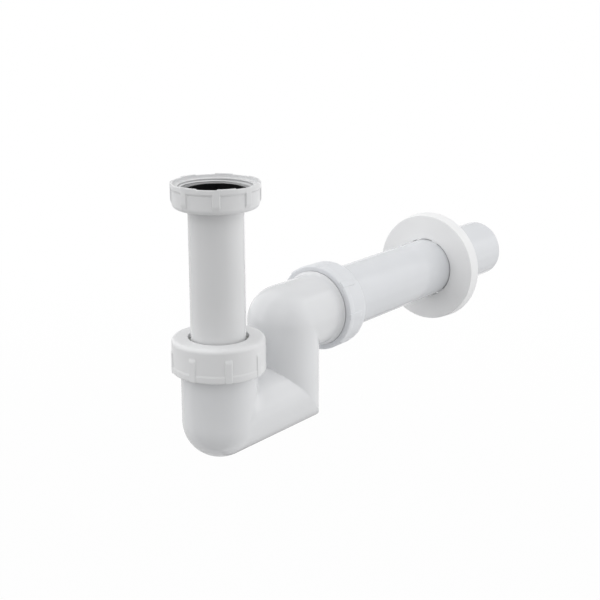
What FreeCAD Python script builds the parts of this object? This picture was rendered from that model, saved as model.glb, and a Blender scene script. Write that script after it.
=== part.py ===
"""Tubular trap for a basin waste: a dip tube, a one-piece U-shaped body and a wall pipe.

Millimetres, +Z up. The origin is the centre of the inlet washer's top face, where the basin
waste's tail stands. The waste water leaves along +Y.
"""
import FreeCAD, Part
import os
from math import cos, radians

V = FreeCAD.Vector
UP = V(0, 0, 1)
OUT = V(0, 1, 0)

# Turns about X, in degrees, that point a piece drawn along +Z up, down or out along +Y
UPWARDS = 0
DOWNWARDS = 180
OUTWARDS = -90

# Play that is left between pieces
TURN_PLAY = 0.05            # between faces that turn or slide on each other
LOOSE_PLAY = 0.4            # round a piece that only has to pass through

# Inlet nut, its washer and the 32 mm dip tube
INLET_THREAD_R = 21.0       # root of the G 1 1/4 thread, drawn as a plain wall
INLET_THREAD_LENGTH = 1.4   # thread left free above the washer
INLET_LEAD_IN = 0.6
INLET_RIM_WALL = 1.3        # thin rim that stands above the thread
INLET_RIM_DEPTH = 2.2
INLET_NOTCH_COUNT = 7       # shallow notches that step the rim's edge
INLET_NOTCH_ANGLE = 27.0
INLET_NOTCH_DEPTH = 0.5
INLET_NOTCH_PHASE = -59.7   # degrees round Z, to the middle of a notch
INLET_SEAT_R = 19.8         # plain bore under the thread that holds the washer and collar
INLET_NUT_WALL = 3.6
INLET_NUT_FLOOR = 3.1
INLET_NUT_SHOULDER = 2.6
INLET_BAND_HEIGHT = 3.2
INLET_RIB_START = 2.2       # from the closed end to the ribs' rounded ends
INLET_RIB_PHASE = -47.8     # degrees round Z
WASHER_THICKNESS = 4.0
WASHER_BORE_R = 14.6
TUBE_R = 16.0
TUBE_WALL = 1.8
TUBE_LENGTH = 133.5
COLLAR_THICKNESS = 3.1

# Grip of all three nuts
RIB_COUNT = 8
RIB_WIDTH = 4.6
RIB_PROUD = 0.8
RIB_CORNER = 1.4
BAND_PROUD = 0.7

# Moulded body: chamber, connector, riser and outlet of one section
BODY_R = 22.2
BODY_WALL = 2.5
SEAT_TO_CONNECTOR = 136.9   # washer's top face down to the connector's axis
CHAMBER_TO_RISER = 59.5
CONNECTOR_TO_OUTLET = 46.2
CHAMBER_NECK = 45.0         # connector's axis up to the end of the chamber's neck
OUTLET_NECK = 44.6          # riser's axis out to the end of the outlet's neck
NECK_THREAD_R = 23.15       # pitch radius of the G 1 1/2 thread, drawn as a plain wall
NECK_THREAD_LENGTH = 12.3
NECK_TIP = 0.5              # chamfer at the neck's end
SEAL_SEAT_DEPTH = 4.4
NECK_LIP = 0.9              # wall left at the neck's end outside the seal's seat
OUTLET_COLLAR_R = 23.8
OUTLET_COLLAR_WIDTH = 0.8
OUTLET_COLLAR_FLARE = 4.4
SOCKET_DEPTH = 23.0
SOCKET_PLAY = 0.3

# Nuts that squeeze the two seals, with their slip rings
NECK_NUT_WALL = 3.9
NECK_NUT_FLOOR = 3.0
NECK_NUT_SHOULDER = 2.6
NECK_NUT_LEAD_IN = 0.8
NECK_BAND_HEIGHT = 4.0
NECK_POCKET_R = 22.6        # plain bore under the closed end that holds the slip ring
CHAMBER_NUT_HEIGHT = 20.2
CHAMBER_HOLE_GAP = 1.6      # between the dip tube and the nut's hole
CHAMBER_RIB_START = 5.6
CHAMBER_RIB_PHASE = -36.7   # degrees round Z
OUTLET_NUT_HEIGHT = 18.3
OUTLET_HOLE_GAP = 0.8       # between the wall pipe and the nut's hole
OUTLET_RIB_START = 4.7
OUTLET_RIB_PHASE = 3.0      # degrees round Y
SLIP_RING_THICKNESS = 1.3
SLIP_RING_EDGE_GAP = 0.5
SEAL_PROUD = 1.7            # how far a seal stands out of its neck

# 40 mm wall pipe and its wall flange
PIPE_R = 20.0
PIPE_WALL = 1.8
PIPE_LENGTH = 212.0
PIPE_TO_STOP = 0.5
PIPE_BEVEL = 0.4
FLANGE_R = 38.2             # at the wall
FLANGE_FRONT_R = 37.5
FLANGE_DEPTH = 8.6
FLANGE_WALL = 1.8
FLANGE_EDGE = 0.8
FLANGE_TO_PIPE_END = 63.2
FLANGE_HUB_WALL = 1.6
FLANGE_HUB_GAP = 0.5
FLANGE_HUB_DEPTH = 6.0
FLANGE_TAB_COUNT = 3
FLANGE_TAB_PHASE = 50.0     # degrees round Y
FLANGE_TAB_WIDTH = 5.0
FLANGE_TAB_DEPTH = 1.6

# Places that follow from the sizes above
CONNECTOR_Z = -SEAT_TO_CONNECTOR
OUTLET_Z = CONNECTOR_Z + CONNECTOR_TO_OUTLET
CORNER = V(0, 0, CONNECTOR_Z)
RISER_FOOT = V(0, CHAMBER_TO_RISER, CONNECTOR_Z)
ELBOW = V(0, CHAMBER_TO_RISER, OUTLET_Z)
CHAMBER_MOUTH = V(0, 0, CONNECTOR_Z + CHAMBER_NECK)
OUTLET_MOUTH = V(0, CHAMBER_TO_RISER + OUTLET_NECK, OUTLET_Z)
PIPE_START = V(0, OUTLET_MOUTH.y - SOCKET_DEPTH + PIPE_TO_STOP, OUTLET_Z)
PIPE_END_Y = PIPE_START.y + PIPE_LENGTH
FLANGE_BACK = V(0, PIPE_END_Y - FLANGE_TO_PIPE_END, OUTLET_Z)
INLET_NUT_TOP = V(0, 0, INLET_THREAD_LENGTH + INLET_LEAD_IN + INLET_RIM_DEPTH)
COLLAR_TOP = -WASHER_THICKNESS - TURN_PLAY
BODY_BORE_R = BODY_R - BODY_WALL
NECK_NUT_BORE_R = NECK_THREAD_R + TURN_PLAY
NECK_FLOOR = SEAL_PROUD + SLIP_RING_THICKNESS + 2 * TURN_PLAY
SEAL_SEAT_R = NECK_THREAD_R - NECK_LIP


def placed(shape, start, turn):
    """Turns a shape that was drawn along +Z about X, and moves its zero point to start."""
    copy = shape.copy()
    copy.rotate(V(0, 0, 0), V(1, 0, 0), turn)
    copy.translate(start)
    return copy


def turned(start, *steps):
    """Revolves an (r, z) outline about Z. A step is a point, or a middle and an end of an arc."""
    edges = []
    here = V(start[0], 0, start[1])
    for step in steps + (start,):
        if isinstance(step[0], tuple):
            middle, end = [V(r, 0, z) for r, z in step]
            edges.append(Part.Arc(here, middle, end).toShape())
        else:
            end = V(step[0], 0, step[1])
            edges.append(Part.LineSegment(here, end).toShape())
        here = end
    return Part.Face(Part.Wire(edges)).revolve(V(0, 0, 0), UP, 360)


def ring(inner_r, outer_r, low, high):
    """A plain ring about Z."""
    return turned((inner_r, low), (outer_r, low), (outer_r, high), (inner_r, high))


def leg(start, end, radius):
    """A straight cylinder from one point to another."""
    way = end - start
    return Part.makeCylinder(radius, way.Length, start, way)


def round_rib(width, corner, low, high, reach):
    """A flat bar along +X from the axis, with two rounded corners at its high end."""
    half = width / 2
    dent = corner * (1 - cos(radians(45)))
    corners = [V(0, -half, low), V(0, half, low), V(0, half, high - corner)]
    right = [V(0, half - dent, high - dent), V(0, half - corner, high)]
    left = [V(0, corner - half, high), V(0, dent - half, high - dent), V(0, -half, high - corner)]
    edges = [Part.LineSegment(corners[0], corners[1]).toShape()]
    edges.append(Part.LineSegment(corners[1], corners[2]).toShape())
    edges.append(Part.Arc(corners[2], right[0], right[1]).toShape())
    edges.append(Part.LineSegment(right[1], left[0]).toShape())
    edges.append(Part.Arc(left[0], left[1], left[2]).toShape())
    edges.append(Part.LineSegment(left[2], corners[0]).toShape())
    return Part.Face(Part.Wire(edges)).extrude(V(reach, 0, 0))


def around(shape, count, phase):
    """Copies of a shape at equal steps about Z."""
    copies = []
    for number in range(count):
        copy = shape.copy()
        copy.rotate(V(0, 0, 0), UP, phase + number * 360.0 / count)
        copies.append(copy)
    return copies


def gripped_nut(thread_r, wall, hole_r, height, floor, shoulder, lead_in, band, rib_start, phase,
                seat_r, seat_depth):
    """A union nut with its mouth at z 0 and its closed end at z height.

    The outside has a band round the mouth and ribs that run from it towards the closed end.
    """
    outer_r = thread_r + wall
    cheek = shoulder * (1 - cos(radians(45)))
    mouth_r = thread_r + lead_in
    shell = turned((hole_r, height),
                   (outer_r - shoulder, height),
                   ((outer_r - cheek, height - cheek), (outer_r, height - shoulder)),
                   (outer_r, 0),
                   (mouth_r, 0),
                   (thread_r, lead_in),
                   (thread_r, height - floor - seat_depth),
                   (seat_r, height - floor - seat_depth),
                   (seat_r, height - floor),
                   (hole_r, height - floor))
    middle_r = outer_r - wall / 2
    band_ring = ring(middle_r, outer_r + BAND_PROUD, 0, band)
    grip = ring(middle_r, outer_r + RIB_PROUD, 0, height - rib_start)
    bar = round_rib(RIB_WIDTH, RIB_CORNER, band / 2, height - rib_start, outer_r * 2)
    ribs = [grip.common(copy) for copy in around(bar, RIB_COUNT, phase)]
    return shell.multiFuse([band_ring] + ribs).removeSplitter()


def inlet_nut():
    """Open upwards, with a thin notched rim; its thread takes the basin waste's tail."""
    stack = WASHER_THICKNESS + COLLAR_THICKNESS + 2 * TURN_PLAY
    height = INLET_NUT_TOP.z + stack + INLET_NUT_FLOOR
    nut = gripped_nut(INLET_THREAD_R, INLET_NUT_WALL, TUBE_R + LOOSE_PLAY, height,
                      INLET_NUT_FLOOR, INLET_NUT_SHOULDER, INLET_LEAD_IN, INLET_BAND_HEIGHT,
                      INLET_RIB_START, -INLET_RIB_PHASE, INLET_SEAT_R, stack)
    band_r = INLET_THREAD_R + INLET_NUT_WALL + BAND_PROUD
    rim_r = band_r - INLET_RIM_WALL
    recess = turned((0, 0), (rim_r, 0), (rim_r, INLET_RIM_DEPTH),
                    (INLET_THREAD_R + INLET_LEAD_IN, INLET_RIM_DEPTH),
                    (INLET_THREAD_R, INLET_RIM_DEPTH + INLET_LEAD_IN),
                    (0, INLET_RIM_DEPTH + INLET_LEAD_IN))
    notch = Part.makeCylinder(band_r * 2, INLET_NOTCH_DEPTH, V(0, 0, 0), UP, INLET_NOTCH_ANGLE)
    start = -INLET_NOTCH_PHASE - INLET_NOTCH_ANGLE / 2
    for cut in [recess] + around(notch, INLET_NOTCH_COUNT, start):
        nut = nut.cut(cut)
    return placed(nut.removeSplitter(), INLET_NUT_TOP, DOWNWARDS)


def inlet_washer():
    """Flat rubber washer on the tube's collar."""
    return ring(WASHER_BORE_R, INLET_SEAT_R - LOOSE_PLAY, -WASHER_THICKNESS, 0)


def inlet_tube():
    """Dip tube with the collar by which the inlet nut pulls it up."""
    foot = COLLAR_TOP - TUBE_LENGTH
    under = COLLAR_TOP - COLLAR_THICKNESS
    collar_r = INLET_SEAT_R - LOOSE_PLAY
    bore_r = TUBE_R - TUBE_WALL
    return turned((bore_r, COLLAR_TOP), (collar_r, COLLAR_TOP), (collar_r, under), (TUBE_R, under),
                  (TUBE_R, foot), (bore_r, foot))


def chamber_end(z, radius):
    """Front chamber with its round bottom, from the connector's axis up to z."""
    return leg(CORNER, V(0, 0, z), radius).fuse(Part.makeSphere(radius, CORNER))


def mitred_run(radius):
    """Connector and riser, joined on a mitre and swept as one."""
    path = Part.makePolygon([CORNER, RISER_FOOT, ELBOW])
    section = Part.Wire(Part.makeCircle(radius, CORNER, OUT))
    return path.makePipeShell([section], True, False, 1)


def run(radius, chamber_top, outlet_end):
    """The whole water way at one radius: chamber, connector, riser, elbow and outlet."""
    parts = [mitred_run(radius), Part.makeSphere(radius, ELBOW),
             leg(ELBOW, V(0, outlet_end, OUTLET_Z), radius)]
    return chamber_end(chamber_top, radius).multiFuse(parts)


def threaded_neck():
    """Neck that a nut screws on, drawn down from its mouth at z 0."""
    return turned((BODY_BORE_R, -NECK_THREAD_LENGTH), (NECK_THREAD_R, -NECK_THREAD_LENGTH),
                  (NECK_THREAD_R, -NECK_TIP), (NECK_THREAD_R - NECK_TIP, 0), (BODY_BORE_R, 0))


def seal_seat(bore_r):
    """Conical mouth that a seal is pressed into, as the solid to cut away."""
    return turned((0, -SEAL_SEAT_DEPTH), (bore_r, -SEAL_SEAT_DEPTH), (SEAL_SEAT_R, 0),
                  (SEAL_SEAT_R, 1), (0, 1))


def outlet_collar():
    """Collar behind the outlet's thread, with a hollow flare down to the pipe run."""
    back = -NECK_THREAD_LENGTH - OUTLET_COLLAR_WIDTH
    rise = OUTLET_COLLAR_R - BODY_R
    sag = V(BODY_R + rise * 0.18, 0, back - OUTLET_COLLAR_FLARE * 0.36)
    return turned((BODY_BORE_R, -NECK_THREAD_LENGTH), (OUTLET_COLLAR_R, -NECK_THREAD_LENGTH),
                  (OUTLET_COLLAR_R, back), ((sag.x, sag.z), (BODY_R, back - OUTLET_COLLAR_FLARE)),
                  (BODY_BORE_R, back - OUTLET_COLLAR_FLARE))


def trap_body():
    """The moulded body, in one piece from the chamber's neck to the outlet's neck."""
    outside = run(BODY_R, CHAMBER_MOUTH.z - NECK_TIP, OUTLET_MOUTH.y - NECK_TIP)
    necks = [placed(threaded_neck(), CHAMBER_MOUTH, UPWARDS),
             placed(threaded_neck(), OUTLET_MOUTH, OUTWARDS)]
    outside = outside.multiFuse(necks + [placed(outlet_collar(), OUTLET_MOUTH, OUTWARDS)])
    inside = run(BODY_BORE_R, CHAMBER_MOUTH.z + 1, OUTLET_MOUTH.y)
    socket_r = PIPE_R + SOCKET_PLAY
    socket_start = OUTLET_MOUTH - OUT * SOCKET_DEPTH
    cuts = [inside, leg(socket_start, OUTLET_MOUTH + OUT, socket_r),
            placed(seal_seat(BODY_BORE_R), CHAMBER_MOUTH, UPWARDS),
            placed(seal_seat(socket_r), OUTLET_MOUTH, OUTWARDS)]
    body = outside
    for cut in cuts:
        body = body.cut(cut)
    return body.removeSplitter()


def wedge_seal(pipe_r, seat_foot_r):
    """Rubber seal with a tapered outside, drawn from the neck's mouth at z 0."""
    inner_r = pipe_r + TURN_PLAY
    slope = (SEAL_SEAT_R - seat_foot_r) / SEAL_SEAT_DEPTH
    foot = -SEAL_SEAT_DEPTH + LOOSE_PLAY
    foot_r = seat_foot_r + slope * LOOSE_PLAY - TURN_PLAY * 2
    top_r = SEAL_SEAT_R - TURN_PLAY * 2
    return turned((inner_r, foot), (foot_r, foot), (top_r, 0), (top_r, SEAL_PROUD),
                  (inner_r, SEAL_PROUD))


def slip_ring(pipe_r):
    """Flat ring between seal and nut, so that the nut turns without dragging the rubber."""
    low = SEAL_PROUD + TURN_PLAY
    return ring(pipe_r + LOOSE_PLAY, NECK_POCKET_R - SLIP_RING_EDGE_GAP, low,
                low + SLIP_RING_THICKNESS)


def neck_nut(height, hole_r, rib_start, phase):
    """Nut on a neck, drawn with its closed end above the neck's mouth at z 0."""
    top = NECK_FLOOR + NECK_NUT_FLOOR
    nut = gripped_nut(NECK_NUT_BORE_R, NECK_NUT_WALL, hole_r, height, NECK_NUT_FLOOR,
                      NECK_NUT_SHOULDER, NECK_NUT_LEAD_IN, NECK_BAND_HEIGHT, rib_start,
                      phase, NECK_POCKET_R, SLIP_RING_THICKNESS)
    nut.translate(V(0, 0, top - height))
    return nut


def outlet_pipe():
    """Wall pipe, square at the wall end and slightly bevelled at both."""
    bore_r = PIPE_R - PIPE_WALL
    edge_r = PIPE_R - PIPE_BEVEL
    pipe = turned((bore_r, 0), (edge_r, 0), (PIPE_R, PIPE_BEVEL),
                  (PIPE_R, PIPE_LENGTH - PIPE_BEVEL), (edge_r, PIPE_LENGTH), (bore_r, PIPE_LENGTH))
    return placed(pipe, PIPE_START, OUTWARDS)


def wall_flange():
    """Shallow, slightly tapered cover for the hole in the wall, with tabs that grip the pipe."""
    hole_r = PIPE_R + FLANGE_HUB_GAP
    hub_r = hole_r + FLANGE_HUB_WALL
    cheek = FLANGE_EDGE * (1 - cos(radians(45)))
    front = -FLANGE_DEPTH
    inside = front + FLANGE_WALL
    shell = turned((hole_r, front), (FLANGE_FRONT_R - FLANGE_EDGE, front),
                   ((FLANGE_FRONT_R - cheek, front + cheek), (FLANGE_FRONT_R, front + FLANGE_EDGE)),
                   (FLANGE_R, 0), (FLANGE_R - FLANGE_WALL, 0),
                   (FLANGE_FRONT_R - FLANGE_WALL, inside), (hub_r, inside),
                   (hub_r, front + FLANGE_HUB_DEPTH), (hole_r, front + FLANGE_HUB_DEPTH))
    tab_ring = ring(PIPE_R + TURN_PLAY, (hole_r + hub_r) / 2, front, front + FLANGE_TAB_DEPTH)
    bar = Part.makeBox(FLANGE_R, FLANGE_TAB_WIDTH, FLANGE_DEPTH, V(0, -FLANGE_TAB_WIDTH / 2, front))
    tabs = [tab_ring.common(copy) for copy in around(bar, FLANGE_TAB_COUNT, FLANGE_TAB_PHASE)]
    return placed(shell.multiFuse(tabs).removeSplitter(), FLANGE_BACK, OUTWARDS)


def main():
    pipe_socket_r = PIPE_R + SOCKET_PLAY
    pieces = {
        "inlet_nut": inlet_nut(),
        "inlet_washer": inlet_washer(),
        "inlet_tube": inlet_tube(),
        "chamber_nut": placed(neck_nut(CHAMBER_NUT_HEIGHT, TUBE_R + CHAMBER_HOLE_GAP,
                                       CHAMBER_RIB_START, CHAMBER_RIB_PHASE), CHAMBER_MOUTH, UPWARDS),
        "chamber_slip_ring": placed(slip_ring(TUBE_R), CHAMBER_MOUTH, UPWARDS),
        "chamber_seal": placed(wedge_seal(TUBE_R, BODY_BORE_R), CHAMBER_MOUTH, UPWARDS),
        "trap_body": trap_body(),
        "outlet_nut": placed(neck_nut(OUTLET_NUT_HEIGHT, PIPE_R + OUTLET_HOLE_GAP,
                                      OUTLET_RIB_START, OUTLET_RIB_PHASE), OUTLET_MOUTH, OUTWARDS),
        "outlet_slip_ring": placed(slip_ring(PIPE_R), OUTLET_MOUTH, OUTWARDS),
        "outlet_seal": placed(wedge_seal(PIPE_R, pipe_socket_r), OUTLET_MOUTH, OUTWARDS),
        "outlet_pipe": outlet_pipe(),
        "wall_flange": wall_flange(),
    }
    os.makedirs("parts", exist_ok=True)
    for name, shape in pieces.items():
        shape.exportStep("parts/" + name + ".step")
        print(name, "valid", shape.isValid(), "solids", len(shape.Solids),
              "volume %.1f mm3" % shape.Volume)


main()
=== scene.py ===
# %% [markdown]
# # A white tubular trap, dressed for its portrait
# The part is a basin waste trap: a nut and dip tube at the top, a one-piece U-shaped body, and a
# wall pipe with a round cover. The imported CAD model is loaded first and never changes. Every
# piece below is a finer surface laid over one CAD node, and it rides on that node's body, so it
# moves exactly as the solid does.

from math import atan2, radians

import bpy
import numpy as np
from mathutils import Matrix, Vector


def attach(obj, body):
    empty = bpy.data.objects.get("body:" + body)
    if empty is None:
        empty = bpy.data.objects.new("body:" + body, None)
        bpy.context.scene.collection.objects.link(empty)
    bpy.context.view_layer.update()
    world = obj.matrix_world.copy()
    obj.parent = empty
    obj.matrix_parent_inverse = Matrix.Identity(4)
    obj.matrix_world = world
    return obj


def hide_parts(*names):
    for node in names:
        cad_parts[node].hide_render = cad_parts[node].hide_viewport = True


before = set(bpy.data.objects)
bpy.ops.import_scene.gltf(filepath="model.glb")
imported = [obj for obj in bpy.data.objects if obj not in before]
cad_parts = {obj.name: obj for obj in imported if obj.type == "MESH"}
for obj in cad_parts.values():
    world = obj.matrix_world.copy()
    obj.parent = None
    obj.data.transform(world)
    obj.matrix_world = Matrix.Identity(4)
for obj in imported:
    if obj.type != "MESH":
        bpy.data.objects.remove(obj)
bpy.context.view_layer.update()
MM = 0.001

# %% [markdown]
# ## One mesh maker for every piece
# A pipe, a nut or a bent body can all be drawn as a closed outline that is carried round or along
# a path. The result is a grid of points whose rows and columns both come back to their start,
# like the skin of a ring, so it has no seam and no pole to close. Writing whole arrays into the
# mesh is far quicker than adding vertices one by one.

# %% Grid to mesh
def skin(name, points, body, nodes, finish):
    """Makes a piece from a grid of points in millimetres, shape (rows, columns, 3).

    Corner (i, j) is joined to (i, j + 1) and (i + 1, j), and both counts wrap round. The volume
    is a sixth of the sum of a . (b x c) over the triangles, and a negative one turns every face.
    """
    rows, columns = points.shape[:2]
    number = np.arange(rows * columns).reshape(rows, columns)
    beside = np.roll(number, -1, axis=1)
    quads = np.stack([number, beside, np.roll(beside, -1, axis=0), np.roll(number, -1, axis=0)], axis=-1)
    quads = quads.reshape(-1, 4)
    flat = points.reshape(-1, 3)
    a, b, c, d = (flat[quads[:, k]] for k in range(4))
    volume = (np.einsum("ij,ij->i", a, np.cross(b, c)) + np.einsum("ij,ij->i", a, np.cross(c, d))).sum() / 6
    if volume < 0:
        quads = quads[:, ::-1]
    mesh = bpy.data.meshes.new(name)
    mesh.vertices.add(len(flat))
    mesh.vertices.foreach_set("co", (flat * MM).ravel())
    mesh.loops.add(quads.size)
    mesh.loops.foreach_set("vertex_index", quads.ravel())
    mesh.polygons.add(len(quads))
    mesh.polygons.foreach_set("loop_start", np.arange(0, quads.size, 4))
    mesh.update(calc_edges=True)
    mesh.polygons.foreach_set("use_smooth", np.ones(len(quads), dtype=bool))
    mesh.set_sharp_from_angle(angle=radians(50))
    mesh.materials.append(finish)
    piece = bpy.data.objects.new(name, mesh)
    bpy.context.collection.objects.link(piece)
    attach(piece, body)
    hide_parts(*nodes)
    print(f"{name}: {2 * len(quads)} triangles, {abs(volume) / 1000:.1f} cm3")
    return piece


# %% [markdown]
# ## Outlines with real corners
# A moulded edge is never perfectly sharp: it has a small radius that catches a line of light.
# The outlines are therefore lists of corners with a radius each, and the arcs are worked out
# here. A point just before and just after each arc keeps the shading of the flat sides flat.

# %% Rounded outlines
def rounded(corners, steps=5, lead=0.12):
    """Rounds a closed outline of (r, z, radius) corners, and gives an array of (r, z) points.

    With unit sides p and q and half their angle h, the arc's centre is the corner plus
    (p + q) / |p + q| * radius / sin h, and the arc touches the sides radius / tan h away. Points
    between follow sin((1 - t)w) start + sin(tw) end, over sin w, where w is the arc's angle.
    """
    data = np.array(corners, dtype=float)
    here, radius = data[:, :2], data[:, 2:3]
    p = np.roll(here, 1, axis=0) - here
    q = np.roll(here, -1, axis=0) - here
    p /= np.linalg.norm(p, axis=1, keepdims=True)
    q /= np.linalg.norm(q, axis=1, keepdims=True)
    half = np.arccos(np.clip((p * q).sum(1, keepdims=True), -1, 1)) / 2
    middle = (p + q) / np.linalg.norm(p + q, axis=1, keepdims=True)
    centre = here + middle * radius / np.sin(half)
    cut = radius / np.tan(half)
    turn = (np.pi - 2 * half)[:, :, None]
    share = np.linspace(0, 1, steps + 1)[None, :, None]
    start = (here + p * cut - centre)[:, None]
    end = (here + q * cut - centre)[:, None]
    arc = centre[:, None] + (np.sin((1 - share) * turn) * start + np.sin(share * turn) * end) / np.sin(turn)
    before = (here + p * (cut + lead))[:, None]
    after = (here + q * (cut + lead))[:, None]
    return np.concatenate([before, arc, after], axis=1).reshape(-1, 2)


def filled(outline, step):
    """Divides the sides of a closed outline evenly, so that none is longer than step.

    step is one length or an array with a length for each side.
    """
    way = np.roll(outline, -1, axis=0) - outline
    parts = np.maximum(np.ceil(np.hypot(way[:, 0], way[:, 1]) / step), 1).astype(int)
    side = np.repeat(np.arange(len(outline)), parts)
    first = np.cumsum(parts) - parts
    share = (np.arange(parts.sum()) - first[side]) / parts[side]
    return outline[side] + way[side] * share[:, None]


def ease(x):
    """Smooth step from 0 to 1: 3x^2 - 2x^3, held at 0 and 1 outside."""
    x = np.clip(x, 0, 1)
    return x * x * (3 - 2 * x)


# %% [markdown]
# ## Threads
# The nuts turn on real screw threads, and the inlet nut's is in plain view. A thread is a ridge
# whose height depends only on z / pitch minus the turn angle / 360 degrees, so it climbs one
# pitch per turn. The two necks and their nuts use the same ridge with a small gap between, and
# stay in mesh when the nuts are screwed off.

# %% The screw ridge
PITCH = 2.309
THREAD_STEP = PITCH / 15  # rows are this close where a thread is cut
SAME = 0.02               # radii that differ by less are on one wall


def ridge(angle, z):
    """Height from 0 to 1 of a right-hand thread at an angle and height, with rounded crests.

    The phase is z / pitch - angle / 2 pi; the flank rises over 0.38 of the pitch on each side.
    """
    phase = np.mod(z / PITCH - angle / (2 * np.pi), 1.0)
    from_crest = np.abs(2 * phase - 1)
    return 1 - ease((from_crest - 0.10) / 0.76)


# %% [markdown]
# ## Placing a turned piece
# A turned piece is easiest to draw standing on its mouth along Z. The inlet nut hangs mouth
# upwards and the outlet pieces lie along Y, so each drawing is turned about X and then moved.

# %% Turned pieces and their places
def turn_about_x(points, degree, start):
    """Turns points about X: y' = y cos a - z sin a, z' = y sin a + z cos a, then adds start."""
    a = radians(degree)
    y, z = points[..., 1], points[..., 2]
    turned_y = y * np.cos(a) - z * np.sin(a)
    turned_z = y * np.sin(a) + z * np.cos(a)
    return np.stack([points[..., 0], turned_y, turned_z], axis=-1) + np.array(start)


def revolve(r, z, angle):
    """Carries radius r and height z, each (rows, columns) or (rows, 1), round Z by angle."""
    r, z, angle = np.broadcast_arrays(r, z, angle)
    return np.stack([r * np.cos(angle), r * np.sin(angle), z], axis=-1)


UPWARDS, DOWNWARDS, OUTWARDS = 0, 180, -90
EVEN = np.linspace(0, 2 * np.pi, 160, endpoint=False)[None, :]  # columns of the round pieces

# %% [markdown]
# ## Camera
# The photograph looks down at the trap from its front right, with the dip tube on the left and
# the wall pipe running away to the right. The nuts' circles and the pipes' edges gave the
# place of the camera; it has no shift and everything is in focus.

# %% Camera
CAMERA_AT = np.array([446.44, -496.44, 129.33])
LOOKS_AT = np.array([12.64, 60.0, -75.92])
FOCAL_PIXELS = 1216.63
PHOTO_PIXELS = 600

camera = bpy.data.objects.new("camera", bpy.data.cameras.new("camera"))
bpy.context.collection.objects.link(camera)
camera.location = CAMERA_AT * MM
camera.rotation_euler = Vector(LOOKS_AT - CAMERA_AT).to_track_quat("-Z", "Y").to_euler()
camera.data.sensor_width = 36
camera.data.lens = 36 * FOCAL_PIXELS / PHOTO_PIXELS
camera.data.clip_start = 0.01
bpy.context.scene.camera = camera
print("lens", round(camera.data.lens, 1))

# %% [markdown]
# ## Node trees from Python sums
# A material is arithmetic on a few patterns. The class below wraps one output of a node, so that
# `1 - mask * 0.2` adds the Math nodes by itself, and one method adds any other node.

# %% Sockets that can be added and multiplied
class Value:
    """One number output in a node tree. Operators add Math nodes and give their output."""

    def __init__(self, tree, output):
        self.tree, self.output = tree, output

    def maths(self, operation, *others):
        sockets = dict(enumerate((self,) + others))
        return add_node(self.tree, "ShaderNodeMath", {"operation": operation}, sockets)

    def __add__(self, other):
        return self.maths("ADD", other)

    def __mul__(self, other):
        return self.maths("MULTIPLY", other)

    def __sub__(self, other):
        return self.maths("SUBTRACT", other)

    def __rsub__(self, other):
        return (self * -1) + other

    __radd__ = __add__
    __rmul__ = __mul__

    def step(self, low, high):
        """Smooth step: 0 at low, 1 at high."""
        sockets = {"Value": self, "From Min": low, "From Max": high}
        return add_node(self.tree, "ShaderNodeMapRange", {"interpolation_type": "SMOOTHSTEP"}, sockets)


def add_node(tree, kind, settings=None, sockets=None, output=0):
    """Adds a node, sets its settings, fills or links its sockets, and gives one output."""
    node = tree.nodes.new(kind)
    for name, value in (settings or {}).items():
        setattr(node, name, value)
    for name, value in (sockets or {}).items():
        if isinstance(value, Value):
            tree.links.new(value.output, node.inputs[name])
        else:
            node.inputs[name].default_value = value
    return Value(tree, node.outputs[output])


# %% [markdown]
# ## White plastic
# The mouldings are white polypropylene, not quite white and faintly cool. The nuts and the wall
# cover are half glossy, with a skin of fine pebbles from the mould, and the body is shinier. All
# change slowly in shine where the melt flowed. The two pipes are extruded, so their marks are
# long lines that run with the pipe. Object coordinates are metres in the part's own frame, so a
# pattern scale of 1000 is about a millimetre.

# %% Plastic finishes
def linear(red, green, blue):
    """Turns 0 to 255 screen values into linear light: ((v + 0.055) / 1.055) ^ 2.4."""
    v = np.array([red, green, blue]) / 255
    return tuple(np.where(v < 0.04045, v / 12.92, ((v + 0.055) / 1.055) ** 2.4)) + (1.0,)


def new_finish(name):
    material = bpy.data.materials.new(name)
    material.use_nodes = True
    material.node_tree.nodes.clear()
    return material, material.node_tree


def noise(tree, scale, stretch=(1, 1, 1), detail=3.0, rough=0.5):
    """Noise on Object coordinates, stretched by a Mapping node; one output from 0 to 1."""
    place = add_node(tree, "ShaderNodeTexCoord", output=3)
    place = add_node(tree, "ShaderNodeMapping", {}, {"Vector": place, "Scale": stretch})
    sockets = {"Vector": place, "Scale": scale, "Detail": detail, "Roughness": rough}
    return add_node(tree, "ShaderNodeTexNoise", {"noise_dimensions": "3D"}, sockets)


def finish_surface(tree, colour, roughness, height, bump, gloss, depth=None):
    """Joins colour, roughness and a height map to one Principled shader."""
    normal = add_node(tree, "ShaderNodeBump", {}, {"Height": height, "Strength": 1.0, "Distance": bump})
    sockets = {"Base Color": colour, "Roughness": roughness, "Normal": normal, "Specular IOR Level": gloss}
    if depth:
        sockets["Subsurface Weight"] = 0.12
        sockets["Subsurface Radius"] = (1.0, 1.0, 1.0)
        sockets["Subsurface Scale"] = depth
    shader = add_node(tree, "ShaderNodeBsdfPrincipled", {}, sockets)
    add_node_output(tree, shader)


def add_node_output(tree, shader, kind="ShaderNodeOutputMaterial"):
    node = tree.nodes.new(kind)
    tree.links.new(shader.output, node.inputs["Surface"])


def two_tone(tree, share, dark, light):
    """Colour that goes from dark to light as share goes from 0 to 1."""
    sockets = {"Factor": share, 6: dark, 7: light}
    return add_node(tree, "ShaderNodeMix", {"data_type": "RGBA"}, sockets, output=2)


def white(level, cool):
    """A white of a screen level whose red is lower by cool and blue higher by 1.7 * cool."""
    return linear(level - cool, level, level + 1.7 * cool)


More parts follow.
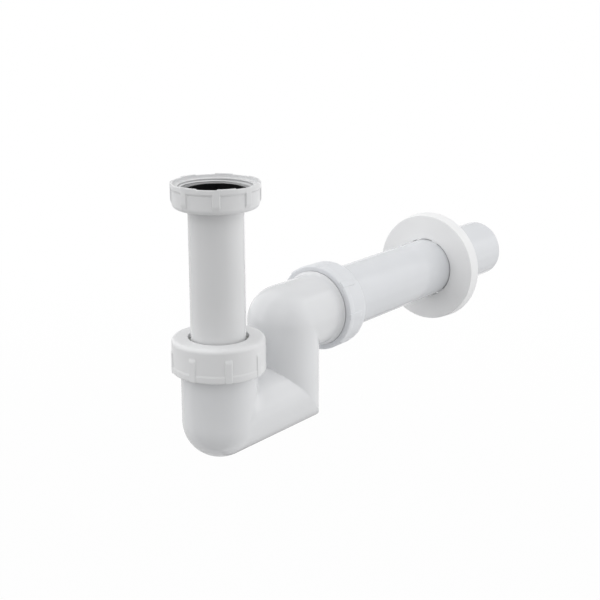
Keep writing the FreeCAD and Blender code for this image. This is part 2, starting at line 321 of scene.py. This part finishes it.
def white_plastic(name, level, cool, shine, bump, stretch=None):
    """White polypropylene with a mould skin that is bump metres deep, or draw lines if stretched.

    colour = dark + (light - dark) * drift; roughness = shine + 0.06 * (flow - 0.5)
    + 0.04 * (skin - 0.5); height = 0.7 * skin + 0.3 * flow, or the draw lines on a pipe.
    """
    light, dark = white(level + 2, cool), white(level - 2, cool)
    material, tree = new_finish(name)
    drift = noise(tree, 22, detail=2.0).step(0.35, 0.68)
    flow = noise(tree, 60, stretch or (1, 1, 1), detail=4.0)
    skin_marks = noise(tree, 1500, detail=2.0)
    colour = two_tone(tree, drift, dark, light)
    roughness = shine + 0.06 * (flow - 0.5) + 0.04 * (skin_marks - 0.5)
    if stretch:
        lines = noise(tree, 900, stretch, detail=3.0, rough=0.6)
        height = 0.75 * lines + 0.25 * skin_marks
    else:
        height = 0.7 * skin_marks + 0.3 * flow
    finish_surface(tree, colour, roughness, height, bump, 0.5, 0.002)
    return material


nut_white = white_plastic("nut_white", 226, 0.5, 0.30, 0.00002)
inlet_nut_white = white_plastic("inlet_nut_white", 222, 0.5, 0.30, 0.00002)
outlet_nut_white = white_plastic("outlet_nut_white", 226, 1.8, 0.30, 0.00002)
# The wall flange is a whiter moulding, and its white is raised further as painted light, standing in for
# the light on its front face
flange_whiter_and_painted_light = white_plastic("flange_whiter_and_painted_light", 240, 0.4, 0.30, 0.00002)
body_white = white_plastic("body_white", 224, 1.0, 0.05, 0.000003)
tube_white = white_plastic("tube_white", 221, 0.5, 0.10, 0.000008, (1, 1, 0.012))
pipe_white = white_plastic("pipe_white", 221, 1.8, 0.07, 0.000008, (1, 0.012, 1))

# %% [markdown]
# ## Rubber and slip rings
# The washer and the two seals are black rubber: dull, with a faint grey bloom and a coarse
# moulded grain. The slip rings are natural polyethylene, milky and waxy.

# %% Rubber and natural plastic
def rubber(name):
    """Black rubber: colour mixes two near-blacks by bloom; roughness = 0.65 + 0.25 * bloom."""
    material, tree = new_finish(name)
    bloom = noise(tree, 180, detail=5.0, rough=0.6).step(0.3, 0.8)
    grain = noise(tree, 1800, detail=3.0)
    colour = two_tone(tree, bloom, linear(12, 12, 13), linear(26, 26, 28))
    finish_surface(tree, colour, 0.65 + 0.25 * bloom, grain + 0.4 * bloom, 0.00006, 0.06)
    return material


def natural_plastic(name):
    """Milky polyethylene: colour and roughness follow one slow cloud pattern."""
    material, tree = new_finish(name)
    cloud = noise(tree, 140, detail=3.0)
    colour = two_tone(tree, cloud, linear(206, 208, 204), linear(224, 225, 220))
    finish_surface(tree, colour, 0.42 + 0.2 * cloud, cloud, 0.00003, 0.45, 0.003)
    return material


black_rubber = rubber("black_rubber")
milky_plastic = natural_plastic("milky_plastic")

# %% [markdown]
# ## Nuts that a hand can grip
# All three nuts share one design: a cup with a band round its mouth, eight flat ribs that rise
# from the band and end in round corners, and a soft shoulder at the closed end. The ribs could
# be eight bars joined to the cup, but then their feet would be cut lines. Here the cup's own
# wall is pushed out where a rib stands, by the distance to a rounded rectangle, so rib and wall
# are one skin. Grid columns crowd together at the ribs' edges.

# %% Grip columns and rib shape
RIB_COUNT = 8
RIB_WIDTH = 4.6
RIB_PROUD = 0.8
RIB_CORNER = 1.4
BAND_PROUD = 0.7


def grip_columns(radius, phase, count=RIB_COUNT, width=RIB_WIDTH, spread=13):
    """Angles round a piece, with extra columns where the ribs' edges and corners are.

    One sector has even angles away from the rib, and offsets of the rib's edge inside it.
    """
    half = width / 2
    inside = [1.7, 1.35, 1.05, 0.8, 0.6, 0.42, 0.28, 0.16, 0.06, -0.04, -0.14, -0.28, -0.5, -0.9]
    edge = half - np.array(inside)
    near = np.r_[-edge, edge[::-1], 0.0] / radius
    sector = np.pi / count
    far = np.linspace(edge.max() / radius, sector, spread)[1:-1]
    offsets = np.sort(np.r_[near, far, -far, -sector])
    centres = radians(phase) + np.arange(count) * 2 * sector
    return (centres[:, None] + offsets[None, :]).reshape(1, -1)


def rib_height(angle, z, radius, phase, low, high):
    """Height from 0 to 1 of the ribs at an angle and height.

    With u and v the distances past the rectangle's inner core, the distance to its rounded edge
    is hypot(max(u, 0), max(v, 0)) + min(max(u, v), 0) - corner. The height rises over 0.5 from
    the sides, and over 2.8 from the end, which would catch too much light if it were steep.
    """
    sector = 2 * np.pi / RIB_COUNT
    around = np.mod(angle - radians(phase) + sector / 2, sector) - sector / 2
    u = np.abs(around) * radius - (RIB_WIDTH / 2 - RIB_CORNER)
    v = np.abs(z - (low + high) / 2) - ((high - low) / 2 - RIB_CORNER)
    away = np.hypot(np.maximum(u, 0), np.maximum(v, 0)) + np.minimum(np.maximum(u, v), 0) - RIB_CORNER
    return ease(-away / 0.5) * ease((high - z) / 2.8)


# %% [markdown]
# The nut's own outline runs from the band up the outside, over the shoulder, across the closed
# end to its hole, and back down inside past the pocket and the thread to the mouth. The thread
# fades in at the mouth and out at the pocket, as a moulding tool's core leaves it. The inlet
# nut's mouth has a thin rim above a ledge, and seven shallow notches step the rim's edge.

# %% The nut
NOTCH_COUNT = 7
NOTCH_HALF = 13.5   # half its width, in degrees
NOTCH_ANGLE = 59.7
NOTCH_DEPTH = 0.45
NOTCH_FADE = 1.5    # height over which a notch fades into the wall below it


def notch_share(angle, radius):
    """1 inside a rim notch and 0 outside, by ease of the distance from its end over 0.24 mm."""
    sector = 2 * np.pi / NOTCH_COUNT
    around = np.mod(angle - radians(NOTCH_ANGLE) + sector / 2, sector) - sector / 2
    return ease((radians(NOTCH_HALF) - np.abs(around)) * radius / 0.24 + 0.5)


def nut(name, body, node, finish, place, turn, phase, root_r, crest_r, outer_r, hole_r, height, shoulder,
        band, rib_start, floor, seat_r, seat_depth, mouth, thread=(0.2, 1.2), lift=0.0, lip=99.0, edge=1.2,
        proud=BAND_PROUD, rib_proud=RIB_PROUD, rim_r=None):
    """Draws a nut with its mouth at z 0: radius = outline + rib height - thread height.

    On the outer wall the radius is the larger of the outline's and outer_r + rib_proud * rib.
    On the thread's wall it is root_r - (root_r - crest_r) * ridge * fade, and from a lip on it
    stays at crest_r. A notch adds depth * (1 - z / NOTCH_FADE) to the z of a rim past rim_r.
    """
    ledge = height - floor - seat_depth
    band_r = outer_r + proud
    outline = rounded([
        (band_r, 0, edge), (band_r, band - 0.3, 0.6), (outer_r, band + 0.9, 0.6),
        (outer_r, height, shoulder), (hole_r, height, 0.35), (hole_r, height - floor, 0.3),
        (seat_r, height - floor, 0.2), (seat_r, ledge, 0.15), (root_r, ledge - 0.1, 0.15)] + mouth)
    low_end, high_end = outline[:, 0], np.roll(outline[:, 0], -1)
    on_thread = (np.abs(low_end - root_r) < SAME) & (np.abs(high_end - root_r) < SAME)
    on_wall = (np.abs(low_end - outer_r) < SAME) & (np.abs(high_end - outer_r) < SAME)
    outline = filled(outline, np.select([on_thread, on_wall], [THREAD_STEP, 0.55], 2.0))
    r, z = outline[:, 0:1], outline[:, 1:2]
    angle = grip_columns(outer_r, phase)
    if rim_r:
        ends = radians(NOTCH_ANGLE) + np.arange(NOTCH_COUNT)[:, None] * 2 * np.pi / NOTCH_COUNT
        ends = ends + np.r_[-1, 1][None, :] * radians(NOTCH_HALF)
        steps = np.array([-0.12, -0.07, 0.0, 0.07, 0.12])[:, None, None] / outer_r
        angle = np.sort(np.mod(np.r_[angle.ravel(), (ends + steps).ravel()], 2 * np.pi))[None, :]
    ribs = rib_height(angle, z, outer_r, phase, band - 3 * RIB_CORNER, height - rib_start)
    outside = np.where(r > outer_r - SAME, np.maximum(r, outer_r + rib_proud * ribs), r)
    start, span = thread
    fade = ease((z - start) / span) * ease((ledge - 0.1 - z) / min(span, 1.0))
    height_share = np.maximum(ridge(angle, z + lift) * fade, ease((z - lip) / 0.35))
    threaded = root_r - (root_r - crest_r) * height_share
    radius = np.where(np.abs(r - root_r) < SAME, threaded, outside)
    if rim_r:
        fade = np.clip(1 - z / NOTCH_FADE, 0, 1) * (r > rim_r - SAME)
        z = z + NOTCH_DEPTH * notch_share(angle, outer_r) * fade
    points = turn_about_x(revolve(radius, z, angle), turn, place)
    return skin(name, points, body, [node], finish)


# %% Three nuts
CONNECTOR_Z = -136.9
RISER_Y = 59.5
OUTLET_Z = CONNECTOR_Z + 46.2
CHAMBER_MOUTH_Z = CONNECTOR_Z + 45.0
OUTLET_MOUTH_Y = RISER_Y + 44.6
NUT_END = 6.1  # from a neck's mouth to its nut's closed end
CHAMBER_HEIGHT, OUTLET_HEIGHT = 20.2, 18.3

INLET_NUT_MOUTH_Z = 4.2

inlet_nut = nut(
    "grip_nut_inlet", "inlet_fixing", "inlet_nut", inlet_nut_white,
    place=(0, 0, INLET_NUT_MOUTH_Z), turn=DOWNWARDS, phase=47.8,
    root_r=22.0, crest_r=19.6, outer_r=24.6, hole_r=16.4, height=14.5, shoulder=2.6,
    band=3.2, rib_start=2.2, floor=3.1, seat_r=19.8, seat_depth=7.2,
    mouth=[(22.0, 2.9, 0.1), (21.2, 2.75, 0.08), (21.2, 2.2, 0.1), (24.0, 2.2, 0.3), (24.0, 0, 0.3)],
    thread=(2.9, 0.4), lift=-1.3, lip=3.7, edge=0.4, rim_r=24.0)
neck_nut = dict(
    root_r=23.95, crest_r=22.75, outer_r=27.1, shoulder=2.6, band=4.0, floor=3.0, seat_r=22.6,
    seat_depth=1.3, proud=0.25, rib_proud=0.55, mouth=[(23.95, 0.3, 0.1), (24.0, 0, 0.1)])
chamber_nut = nut(
    "grip_nut_chamber", "chamber_union", "chamber_nut", nut_white,
    place=(0, 0, CHAMBER_MOUTH_Z + NUT_END - CHAMBER_HEIGHT), turn=UPWARDS, phase=-36.7,
    hole_r=17.6, height=CHAMBER_HEIGHT, rib_start=5.6, **neck_nut)
outlet_nut = nut(
    "grip_nut_outlet", "outlet_union", "outlet_nut", outlet_nut_white,
    place=(0, OUTLET_MOUTH_Y + NUT_END - OUTLET_HEIGHT, OUTLET_Z), turn=OUTWARDS, phase=3.0,
    hole_r=20.8, height=OUTLET_HEIGHT, rib_start=4.7, **neck_nut)

# %% [markdown]
# ## Dip tube, washer and wall pipe
# These are plain turned shapes, but their ends are worth care: a moulded collar with soft edges
# on the dip tube, a saw-cut and bevelled wall pipe, and a washer whose top slopes down to its
# outer edge.

# %% Plain turned pieces
def turned_piece(name, body, node, finish, corners, place=(0, 0, 0), turn=UPWARDS, step=6.0):
    """Revolves a rounded outline about Z, then turns it about X and puts it in its place."""
    outline = filled(rounded(corners), step)
    points = revolve(outline[:, 0:1], outline[:, 1:2], EVEN)
    return skin(name, turn_about_x(points, turn, place), body, [node], finish)


TUBE_TOP = -4.05
TUBE_END = TUBE_TOP - 133.5
COLLAR_FOOT = TUBE_TOP - 3.1
WASHER_FOOT = -4.0
PIPE_LENGTH = 212.0
PIPE_START_Y = OUTLET_MOUTH_Y - 22.5

dip_tube = turned_piece("dip_tube_skin", "dip_tube", "inlet_tube", tube_white, [
    (14.2, TUBE_TOP, 0.5), (19.4, TUBE_TOP, 0.5), (19.4, COLLAR_FOOT, 0.6), (16.0, COLLAR_FOOT, 0.25),
    (16.0, TUBE_END, 0.4), (14.2, TUBE_END, 0.4)])
washer = turned_piece("washer_skin", "inlet_fixing", "inlet_washer", black_rubber, [
    (14.6, WASHER_FOOT, 0.5), (19.35, WASHER_FOOT, 0.6), (19.35, -1.3, 0.5),
    (16.2, 0.0, 0.8), (14.6, 0.0, 0.4)], step=0.8)
wall_pipe = turned_piece("wall_pipe_skin", "wall_pipe", "outlet_pipe", pipe_white, [
    (18.2, 0, 0.3), (20.0, 0, 0.45), (20.0, PIPE_LENGTH, 0.45), (18.2, PIPE_LENGTH, 0.3)],
    place=(0, PIPE_START_Y, OUTLET_Z), turn=OUTWARDS)

# %% [markdown]
# ## Wall flange
# The cover slides on the pipe up to the wall. It is a shallow cup, open at the back, and three
# small nibs at its hole grip the pipe. The nibs are made as the nuts' ribs are: the hole's edge
# is pulled in over a few degrees.

# %% Flange
FLANGE_R, FLANGE_FRONT_R = 38.2, 37.5
FLANGE_WALL = 1.8
FLANGE_DEPTH = 8.6
FLANGE_HOLE_R, HUB_R, HUB_DEPTH = 20.5, 22.1, 6.0
FLANGE_Y = PIPE_START_Y + PIPE_LENGTH - 63.2
NIB_COUNT, NIB_WIDTH, NIB_ANGLE = 3, 5.0, 50.0
NIB_R, NIB_DEPTH = 20.05, 1.7


def wall_flange():
    """Revolved cup; at a nib the hole's radius becomes NIB_R over the front NIB_DEPTH.

    The pull is ease of the distance inside the nib's sides, times ease of the depth.
    """
    front = -FLANGE_DEPTH
    inside, hub_end = front + FLANGE_WALL, front + HUB_DEPTH
    outline = rounded([
        (FLANGE_HOLE_R, front, 0.2), (FLANGE_FRONT_R, front, 0.7), (FLANGE_R, 0, 0.3),
        (FLANGE_R - FLANGE_WALL, 0, 0.3), (FLANGE_FRONT_R - FLANGE_WALL, inside, 0.6),
        (HUB_R, inside, 0.5), (HUB_R, hub_end, 0.3), (FLANGE_HOLE_R, hub_end, 0.3)])
    hole_wall = FLANGE_HOLE_R + 0.3
    near_hole = (outline[:, 0] < hole_wall) & (np.roll(outline[:, 0], -1) < hole_wall)
    outline = filled(outline, np.where(near_hole, 0.3, 2.5))
    r, z = outline[:, 0:1], outline[:, 1:2]
    angle = grip_columns(FLANGE_HOLE_R, NIB_ANGLE, NIB_COUNT, NIB_WIDTH, 60)
    sector = 2 * np.pi / NIB_COUNT
    around = np.mod(angle - radians(NIB_ANGLE) + sector / 2, sector) - sector / 2
    sides = ease((NIB_WIDTH / 2 - np.abs(around) * FLANGE_HOLE_R) / 0.3)
    nib = sides * ease((front + NIB_DEPTH - z) / 0.3)
    radius = np.where(r < hole_wall, r - nib * (r - NIB_R), r)
    points = turn_about_x(revolve(radius, z, angle), OUTWARDS, (0, FLANGE_Y, OUTLET_Z))
    return skin("wall_flange_skin", points, "flange", ["wall_flange"], flange_whiter_and_painted_light)


flange = wall_flange()

# %% [markdown]
# ## The body
# The U-shaped body is one moulding: a chamber with a round bottom, a connector, a riser that
# meets it on a mitre, and a round elbow. Unions of cylinders and spheres would leave uneven
# meshes along the creases. Instead one outline of (way along the path, radius) is carried along
# the path. On the straights a row is a circle. At each corner the rows fan out
# from a line just outside the inner crease, and every point is found along its ray, where a
# formula for the distance to the joined cylinders becomes zero.

# %% Path of the body
BODY_R = 22.2
BORE_R = 19.7
CREASE = (4.5, 0.8, 0.8)  # from each corner's crease to the line its rows fan out from

corner_at = np.array([(0.0, CONNECTOR_Z), (RISER_Y, CONNECTOR_Z), (RISER_Y, OUTLET_Z)])
heading = np.array([-90.0, 0.0, 90.0, 0.0])  # of the four legs, in degrees from +Y towards +Z
inner_side = np.array([1, 1, -1])            # which side of the path the crease is on
reach = BODY_R + np.array(CREASE)            # from a corner back to where its rows start to fan
sweep = reach * np.pi / 2
leg_length = np.array([
    CHAMBER_MOUTH_Z - CONNECTOR_Z, RISER_Y, OUTLET_Z - CONNECTOR_Z, OUTLET_MOUTH_Y - RISER_Y])
straight = leg_length - np.r_[reach[0], reach[0] + reach[1], reach[1] + reach[2], reach[2]]
fan_start = np.cumsum(straight[:3]) + np.r_[0, np.cumsum(sweep)[:2]]
fan_end = fan_start + sweep
PATH_LENGTH = straight.sum() + sweep.sum()
print("straights", np.round(straight, 2), "path", round(PATH_LENGTH, 1))


def path_frame(way):
    """Centre (y, z), heading and corner number for each distance along the path.

    Straight rows move with the heading. In a fan the heading turns evenly by 90 degrees, and the
    centre circles the pivot: pivot - side * reach * n, with n = (-sin heading, cos heading).
    """
    centre = np.zeros((len(way), 2))
    direction = np.full(len(way), heading[0])
    corner = np.full(len(way), -1)
    start = np.array([0.0, CHAMBER_MOUTH_Z])
    leg_start = 0.0
    for number in range(4):
        a = radians(heading[number])
        on = way >= leg_start
        centre[on] = start + (way[on] - leg_start)[:, None] * np.array([np.cos(a), np.sin(a)])
        direction[on] = heading[number]
        corner[on] = -1
        if number == 3:
            break
        side = inner_side[number]
        end_of_leg = corner_at[number] - reach[number] * np.array([np.cos(a), np.sin(a)])
        pivot = end_of_leg + side * reach[number] * np.array([-np.sin(a), np.cos(a)])
        on = way >= fan_start[number]
        share = (way[on] - fan_start[number]) / sweep[number]
        turn = np.radians(heading[number] + share * (heading[number + 1] - heading[number]))
        centre[on] = pivot - side * reach[number] * np.stack([-np.sin(turn), np.cos(turn)], axis=1)
        direction[on] = np.degrees(turn)
        corner[on] = number
        b = radians(heading[number + 1])
        start = corner_at[number] + reach[number] * np.array([np.cos(b), np.sin(b)])
        leg_start = fan_end[number]
    return centre, direction, corner


# %% [markdown]
# At a corner, let a be the distance back along the leg that comes in, b the distance along the
# leg that goes out, and x the distance sideways. Where both are positive the two cylinders are
# joined with a small fillet. Where both are negative the corner is closed by a ball, or by the
# two cylinders' mitre. Everywhere else only one cylinder counts.

# %% Distance to the joined legs
FILLET = (4.2, 0.4, 0.6)  # at each corner's inner crease
MITRE_EDGE = 0.4          # at the mitre's outer edge
HALVINGS = 26


def smooth_min(p, q, k):
    """Smaller of p and q, rounded where they differ by less than k: min - h^2 k / 4."""
    h = np.clip(1 - np.abs(p - q) / np.maximum(k, 1e-6), 0, 1)
    return np.minimum(p, q) - h * h * k / 4


def corner_distance(number, x, y, z, radius):
    """Signed distance to the joined legs at one corner, as the lines above say in words."""
    a0, b0 = radians(heading[number]), radians(heading[number + 1])
    dy, dz = y - corner_at[number, 0], z - corner_at[number, 1]
    a = -(dy * np.cos(a0) + dz * np.sin(a0))
    b = dy * np.cos(b0) + dz * np.sin(b0)
    incoming = np.hypot(x, b) - radius
    outgoing = np.hypot(x, a) - radius
    fade = ease(np.minimum(a, b) / (0.35 * radius))
    joined = smooth_min(incoming, outgoing, FILLET[number] * fade)
    if number == 1:
        edge = MITRE_EDGE * ease(-np.maximum(a, b) / (0.35 * radius))
        outer = -smooth_min(-incoming, -outgoing, edge)
    else:
        outer = np.sqrt(x * x + a * a + b * b) - radius
    return np.where(a >= 0, np.where(b >= 0, joined, incoming), np.where(b >= 0, outgoing, outer))


def carried(way, radius, angle):
    """Points of the body's skin: centre + rho (cos angle n + sin angle X) for each row.

    On a straight, rho is the outline's radius. In a fan it is found by halving the span from 0
    to 3 radii, where corner_distance changes sign.
    """
    centre, direction, corner = path_frame(way)
    turn = np.radians(direction)[:, None]
    n_y, n_z = -np.sin(turn), np.cos(turn)
    rho = np.broadcast_to(radius, (len(way), angle.shape[1])).copy()
    for number in range(3):
        row = corner == number
        low = np.zeros((row.sum(), angle.shape[1]))
        high = low + 3 * radius[row].max()
        for _ in range(HALVINGS):
            middle = (low + high) / 2
            x = middle * np.sin(angle)
            y = centre[row, 0:1] + middle * np.cos(angle) * n_y[row]
            z = centre[row, 1:2] + middle * np.cos(angle) * n_z[row]
            outside = corner_distance(number, x, y, z, radius[row][:, :1]) > 0
            high = np.where(outside, middle, high)
            low = np.where(outside, low, middle)
        rho[row] = (low + high) / 2
    x = rho * np.sin(angle)
    y = centre[:, 0:1] + rho * np.cos(angle) * n_y
    z = centre[:, 1:2] + rho * np.cos(angle) * n_z
    return np.stack([x, y, z], axis=-1)


# %% [markdown]
# The outline starts at the chamber's mouth, runs along the outside to the outlet's mouth and
# comes back inside. Behind the outlet's thread a collar flares out with a hollow curve, and each
# mouth has the tapered seat that its seal is pressed into.

# %% The body's outline and skin
NECK_ROOT_R, NECK_CREST_R = 22.65, 23.8
THREAD_LENGTH = 12.3
COLLAR_R, COLLAR_LENGTH = 23.9, 0.8
FLARE_LENGTH = 4.4
HOLLOW = 3.8  # power that hollows the flare
SEAT_R, SEAT_LENGTH = 22.25, 4.4
SOCKET_R, SOCKET_DEPTH = 20.3, 23.0

end = PATH_LENGTH
collar_front = end - THREAD_LENGTH
flare_end = collar_front - COLLAR_LENGTH
flare_start = flare_end - FLARE_LENGTH
body_outline = rounded([
    (0, NECK_ROOT_R, 0.15), (THREAD_LENGTH, NECK_ROOT_R, 0.2), (THREAD_LENGTH + 0.5, BODY_R, 0.3),
    (flare_start, BODY_R, 1.0), (flare_end, COLLAR_R, 0.25),
    (collar_front, COLLAR_R, 0.15), (collar_front + 0.1, NECK_ROOT_R, 0.2), (end, NECK_ROOT_R, 0.15),
    (end, SEAT_R, 0.1), (end - SEAT_LENGTH, SOCKET_R, 0.3),
    (end - SOCKET_DEPTH, SOCKET_R, 0.1), (end - SOCKET_DEPTH - 0.1, BORE_R, 0.1),
    (SEAT_LENGTH, BORE_R, 0.3), (0, SEAT_R, 0.1)])
way0, r0 = body_outline[:, 0], body_outline[:, 1]
way1, r1 = np.roll(way0, -1), np.roll(r0, -1)
threaded = (np.abs(r0 - NECK_ROOT_R) < SAME) & (np.abs(r1 - NECK_ROOT_R) < SAME)
outer_run = (np.minimum(r0, r1) > BORE_R + 1) & ~threaded
on_flare = outer_run & (way0 > flare_start - 1) & (way0 < collar_front)
length = np.select([threaded, on_flare, outer_run], [THREAD_STEP, 0.25, 0.9], 2.5)
body_outline = filled(body_outline, length)

# Close rows at the middle of a fan keep the crease there crisp
for number in (1, 2):
    middle = (fan_start[number] + fan_end[number]) / 2
    near = (np.abs(body_outline[:, 0] - middle) < 0.5) & (body_outline[:, 1] > BORE_R + 1)
    body_outline = body_outline[~near]
    rows = middle + np.array([-0.4, -0.15, -0.04, 0.04, 0.15, 0.4])
    first = np.argmax(body_outline[:, 0] > middle)
    body_outline = np.insert(body_outline, first, np.stack([rows, 0 * rows + BODY_R], axis=1), axis=0)
way, radius = body_outline[:, 0], body_outline[:, 1:2]

# The flare's straight side is hollowed: its share u of the rise becomes u ^ HOLLOW
share = np.clip((radius - BODY_R) / (COLLAR_R - BODY_R), 0, 1)
on_flare = (way[:, None] > flare_start - 1) & (way[:, None] < collar_front - 0.05) & (radius > BODY_R - 0.1)
radius = np.where(on_flare, BODY_R + (COLLAR_R - BODY_R) * share ** HOLLOW, radius)

# A neck's thread follows the turn angle of its own nut: round +Z at the chamber, +Y at the outlet
at_chamber = way[:, None] < THREAD_LENGTH + 1
from_mouth = np.where(at_chamber, way[:, None], end - way[:, None])
neck_z = -from_mouth
turn_angle = np.where(at_chamber, np.pi / 2 - EVEN, EVEN - np.pi / 2)
own_z = neck_z - NUT_END + np.where(at_chamber, CHAMBER_HEIGHT, OUTLET_HEIGHT)
fade = ease((from_mouth - 0.5) / 1.2) * ease((THREAD_LENGTH - 0.3 - from_mouth) / 1.2)
screw = (NECK_CREST_R - NECK_ROOT_R) * ridge(turn_angle, own_z) * fade
radius = radius + screw * (np.abs(radius - NECK_ROOT_R) < SAME)
body = skin(
    "trap_body_skin", carried(way, radius, EVEN), "body", ["trap_body"], body_white)

# %% [markdown]
# ## Hidden seals and slip rings
# The seals and slip rings inside the two nuts can only be seen when a nut is screwed off. Their
# CAD shapes are right as they are, so they stay and only get their finish.

# %% Finishes on the nodes that stay
for node, finish in (("chamber_seal", black_rubber), ("outlet_seal", black_rubber),
                     ("chamber_slip_ring", milky_plastic), ("outlet_slip_ring", milky_plastic)):
    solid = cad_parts[node]
    for place in solid.material_slots:
        place.material = finish
    print(node, len(solid.material_slots), "slot")

# %% [markdown]
# ## Light
# White plastic shows only the light round it. The photograph has a tall soft panel on each side
# of the camera, a pale ceiling, and a dim gap where the camera stands, which gives the pipes
# their grey middle and bright edges. The panels are drawn in the world by azimuth, measured from
# the camera, and elevation, so they light the part and show in its gloss. The strengths began as
# a least-squares fit to the photograph's grey levels, and were then changed and rounded.

# %% Studio panels
world = bpy.data.worlds.new("studio")
bpy.context.scene.world = world
world.use_nodes = True
tree = world.node_tree
tree.nodes.clear()
CAMERA_AZIMUTH = atan2(CAMERA_AT[1] - LOOKS_AT[1], CAMERA_AT[0] - LOOKS_AT[0])

direction = add_node(tree, "ShaderNodeTexCoord", output=0)
axes = tree.nodes.new("ShaderNodeSeparateXYZ")
tree.links.new(direction.output, axes.inputs[0])
x, y, z = (Value(tree, axes.outputs[k]) for k in range(3))
c, s = np.cos(CAMERA_AZIMUTH), np.sin(CAMERA_AZIMUTH)
to_camera = x * float(c) + y * float(s)
to_right = y * float(c) - x * float(s)
azimuth = to_right.maths("ARCTAN2", to_camera) * (180 / np.pi)
elevation = z.maths("ARCSINE") * (180 / np.pi)


def panel(left, right, low, high, soft):
    """1 inside a rectangle of azimuth and elevation, with edges soft degrees wide."""
    across = azimuth.step(left - soft, left + soft) * (1 - azimuth.step(right - soft, right + soft))
    up = elevation.step(low - soft, low + soft) * (1 - elevation.step(high - soft, high + soft))
    return across * up


# The room: paler at the zenith, dimmer in the gaps in front and dimmest behind the trap
glow = 0.95 + 0.05 * elevation.step(64, 72)
glow = glow - 0.35 * (1 - panel(-150, 125, -100, 100, 8)) * elevation.step(2, 12)
glow = glow - 0.15 * panel(-40, 25, -1, 12, 3)
glow = glow - 0.20 * panel(-40, 14, 12, 34, 3)
glow = glow - 0.20 * panel(14, 46, 12, 56, 4)

# The left panel, the ceiling panel, and the far end of the ceiling
glow = glow + 0.40 * panel(-150, -88, 0, 66, 1.5)
glow = glow + 0.10 * panel(-72, -62, 0, 66, 1.5)
glow = glow + 0.40 * panel(-70, 5, 30, 72, 5)
glow = glow + 1.30 * panel(-179, -95, 64.5, 70.5, 0.8)

# The right panel, brightest in its middle, with a bright upper edge and a fainter band above
glow = glow + 0.25 * panel(58, 76, -1, 34, 1.2)
glow = glow + 0.65 * panel(76, 100, -1, 34, 1.2)
glow = glow + 0.45 * panel(100, 120, -1, 34, 1.2)
glow = glow + 0.70 * panel(90, 125, 32.5, 35.5, 0.5)
glow = glow + 0.25 * panel(58, 115, 35.5, 52, 2)

# The left panel's bright edge leans back as it rises
rise = (elevation - 22).maths("MAXIMUM", 0)
from_edge = azimuth + 78 + 0.009 * rise * rise
bright_edge = from_edge.step(-6, -4.5) * (1 - from_edge.step(4.5, 6)) * (1 - elevation.step(64, 68))
glow = glow + 1.50 * bright_edge

# The floor glows on the left, more towards the right panel, and fades behind it. Low strips
# behind the trap keep the lower outlines of the part from going dark
floor_glow = 0.35 + 0.35 * (1 - azimuth.step(-95, -85)) + 0.25 * azimuth.step(44, 48)
floor_glow = floor_glow + 0.35 * azimuth.step(66, 70) + 0.10 * azimuth.step(85, 89)
floor_glow = floor_glow - 0.20 * azimuth.step(128, 132) - 0.30 * azimuth.step(148, 152)
floor_glow = floor_glow - 0.25 * azimuth.step(166, 170) + 0.10 * (1 - elevation.step(-52, -44))
floor_glow = floor_glow + 0.30 * panel(46, 168, -15, -1, 2)
floor_glow = floor_glow + 0.50 * panel(154, 400, -30, -2, 2) + 0.30 * panel(-400, -165, -26, -2, 2)

below = 1 - elevation.step(-6, 0)
glow = glow * (1 - below) + floor_glow * below
light = add_node(tree, "ShaderNodeBackground", {}, {"Color": (1.0, 1.0, 1.0, 1.0), "Strength": glow})
backdrop = add_node(tree, "ShaderNodeBackground", {}, {"Color": (1.0, 1.0, 1.0, 1.0), "Strength": 1.0})
seen = add_node(tree, "ShaderNodeLightPath", output=0)
both = add_node(tree, "ShaderNodeMixShader", {}, {0: seen, 1: light, 2: backdrop})
add_node_output(tree, both, "ShaderNodeOutputWorld")
bpy.context.scene.view_settings.view_transform = "Standard"

# %% [markdown]
# ## Floor
# The photograph is cut out on white. A pale floor lies well below the trap, mostly as bright as
# the background to the camera, so that only a breath of shadow is left on it.

# %% Floor
FLOOR_Z = -260.0
corners = [(-3000, -3000, FLOOR_Z), (3000, -3000, FLOOR_Z), (3000, 3000, FLOOR_Z), (-3000, 3000, FLOOR_Z)]
floor_mesh = bpy.data.meshes.new("floor")
floor_mesh.from_pydata((np.array(corners) * MM).tolist(), [], [(0, 1, 2, 3)])
floor = bpy.data.objects.new("floor", floor_mesh)
bpy.context.collection.objects.link(floor)
pale, tree = new_finish("pale_floor")
matte = add_node(tree, "ShaderNodeBsdfDiffuse", {}, {"Color": (0.42, 0.42, 0.42, 1.0)})
paper = add_node(tree, "ShaderNodeEmission", {}, {"Color": (1.0, 1.0, 1.0, 1.0), "Strength": 1.0})
spot = add_node(tree, "ShaderNodeTexCoord", output=3)
away = add_node(tree, "ShaderNodeVectorMath", {"operation": "LENGTH"}, {0: spot}, output=1)
white_share = 0.98 + 0.02 * away.step(0.25, 0.9)
sheet = add_node(tree, "ShaderNodeMixShader", {}, {0: white_share, 1: matte, 2: paper})
clear = add_node(tree, "ShaderNodeBsdfTransparent")
seen = add_node(tree, "ShaderNodeLightPath", output=0)
both = add_node(tree, "ShaderNodeMixShader", {}, {0: seen, 1: clear, 2: sheet})
add_node_output(tree, both)
floor_mesh.materials.append(pale)
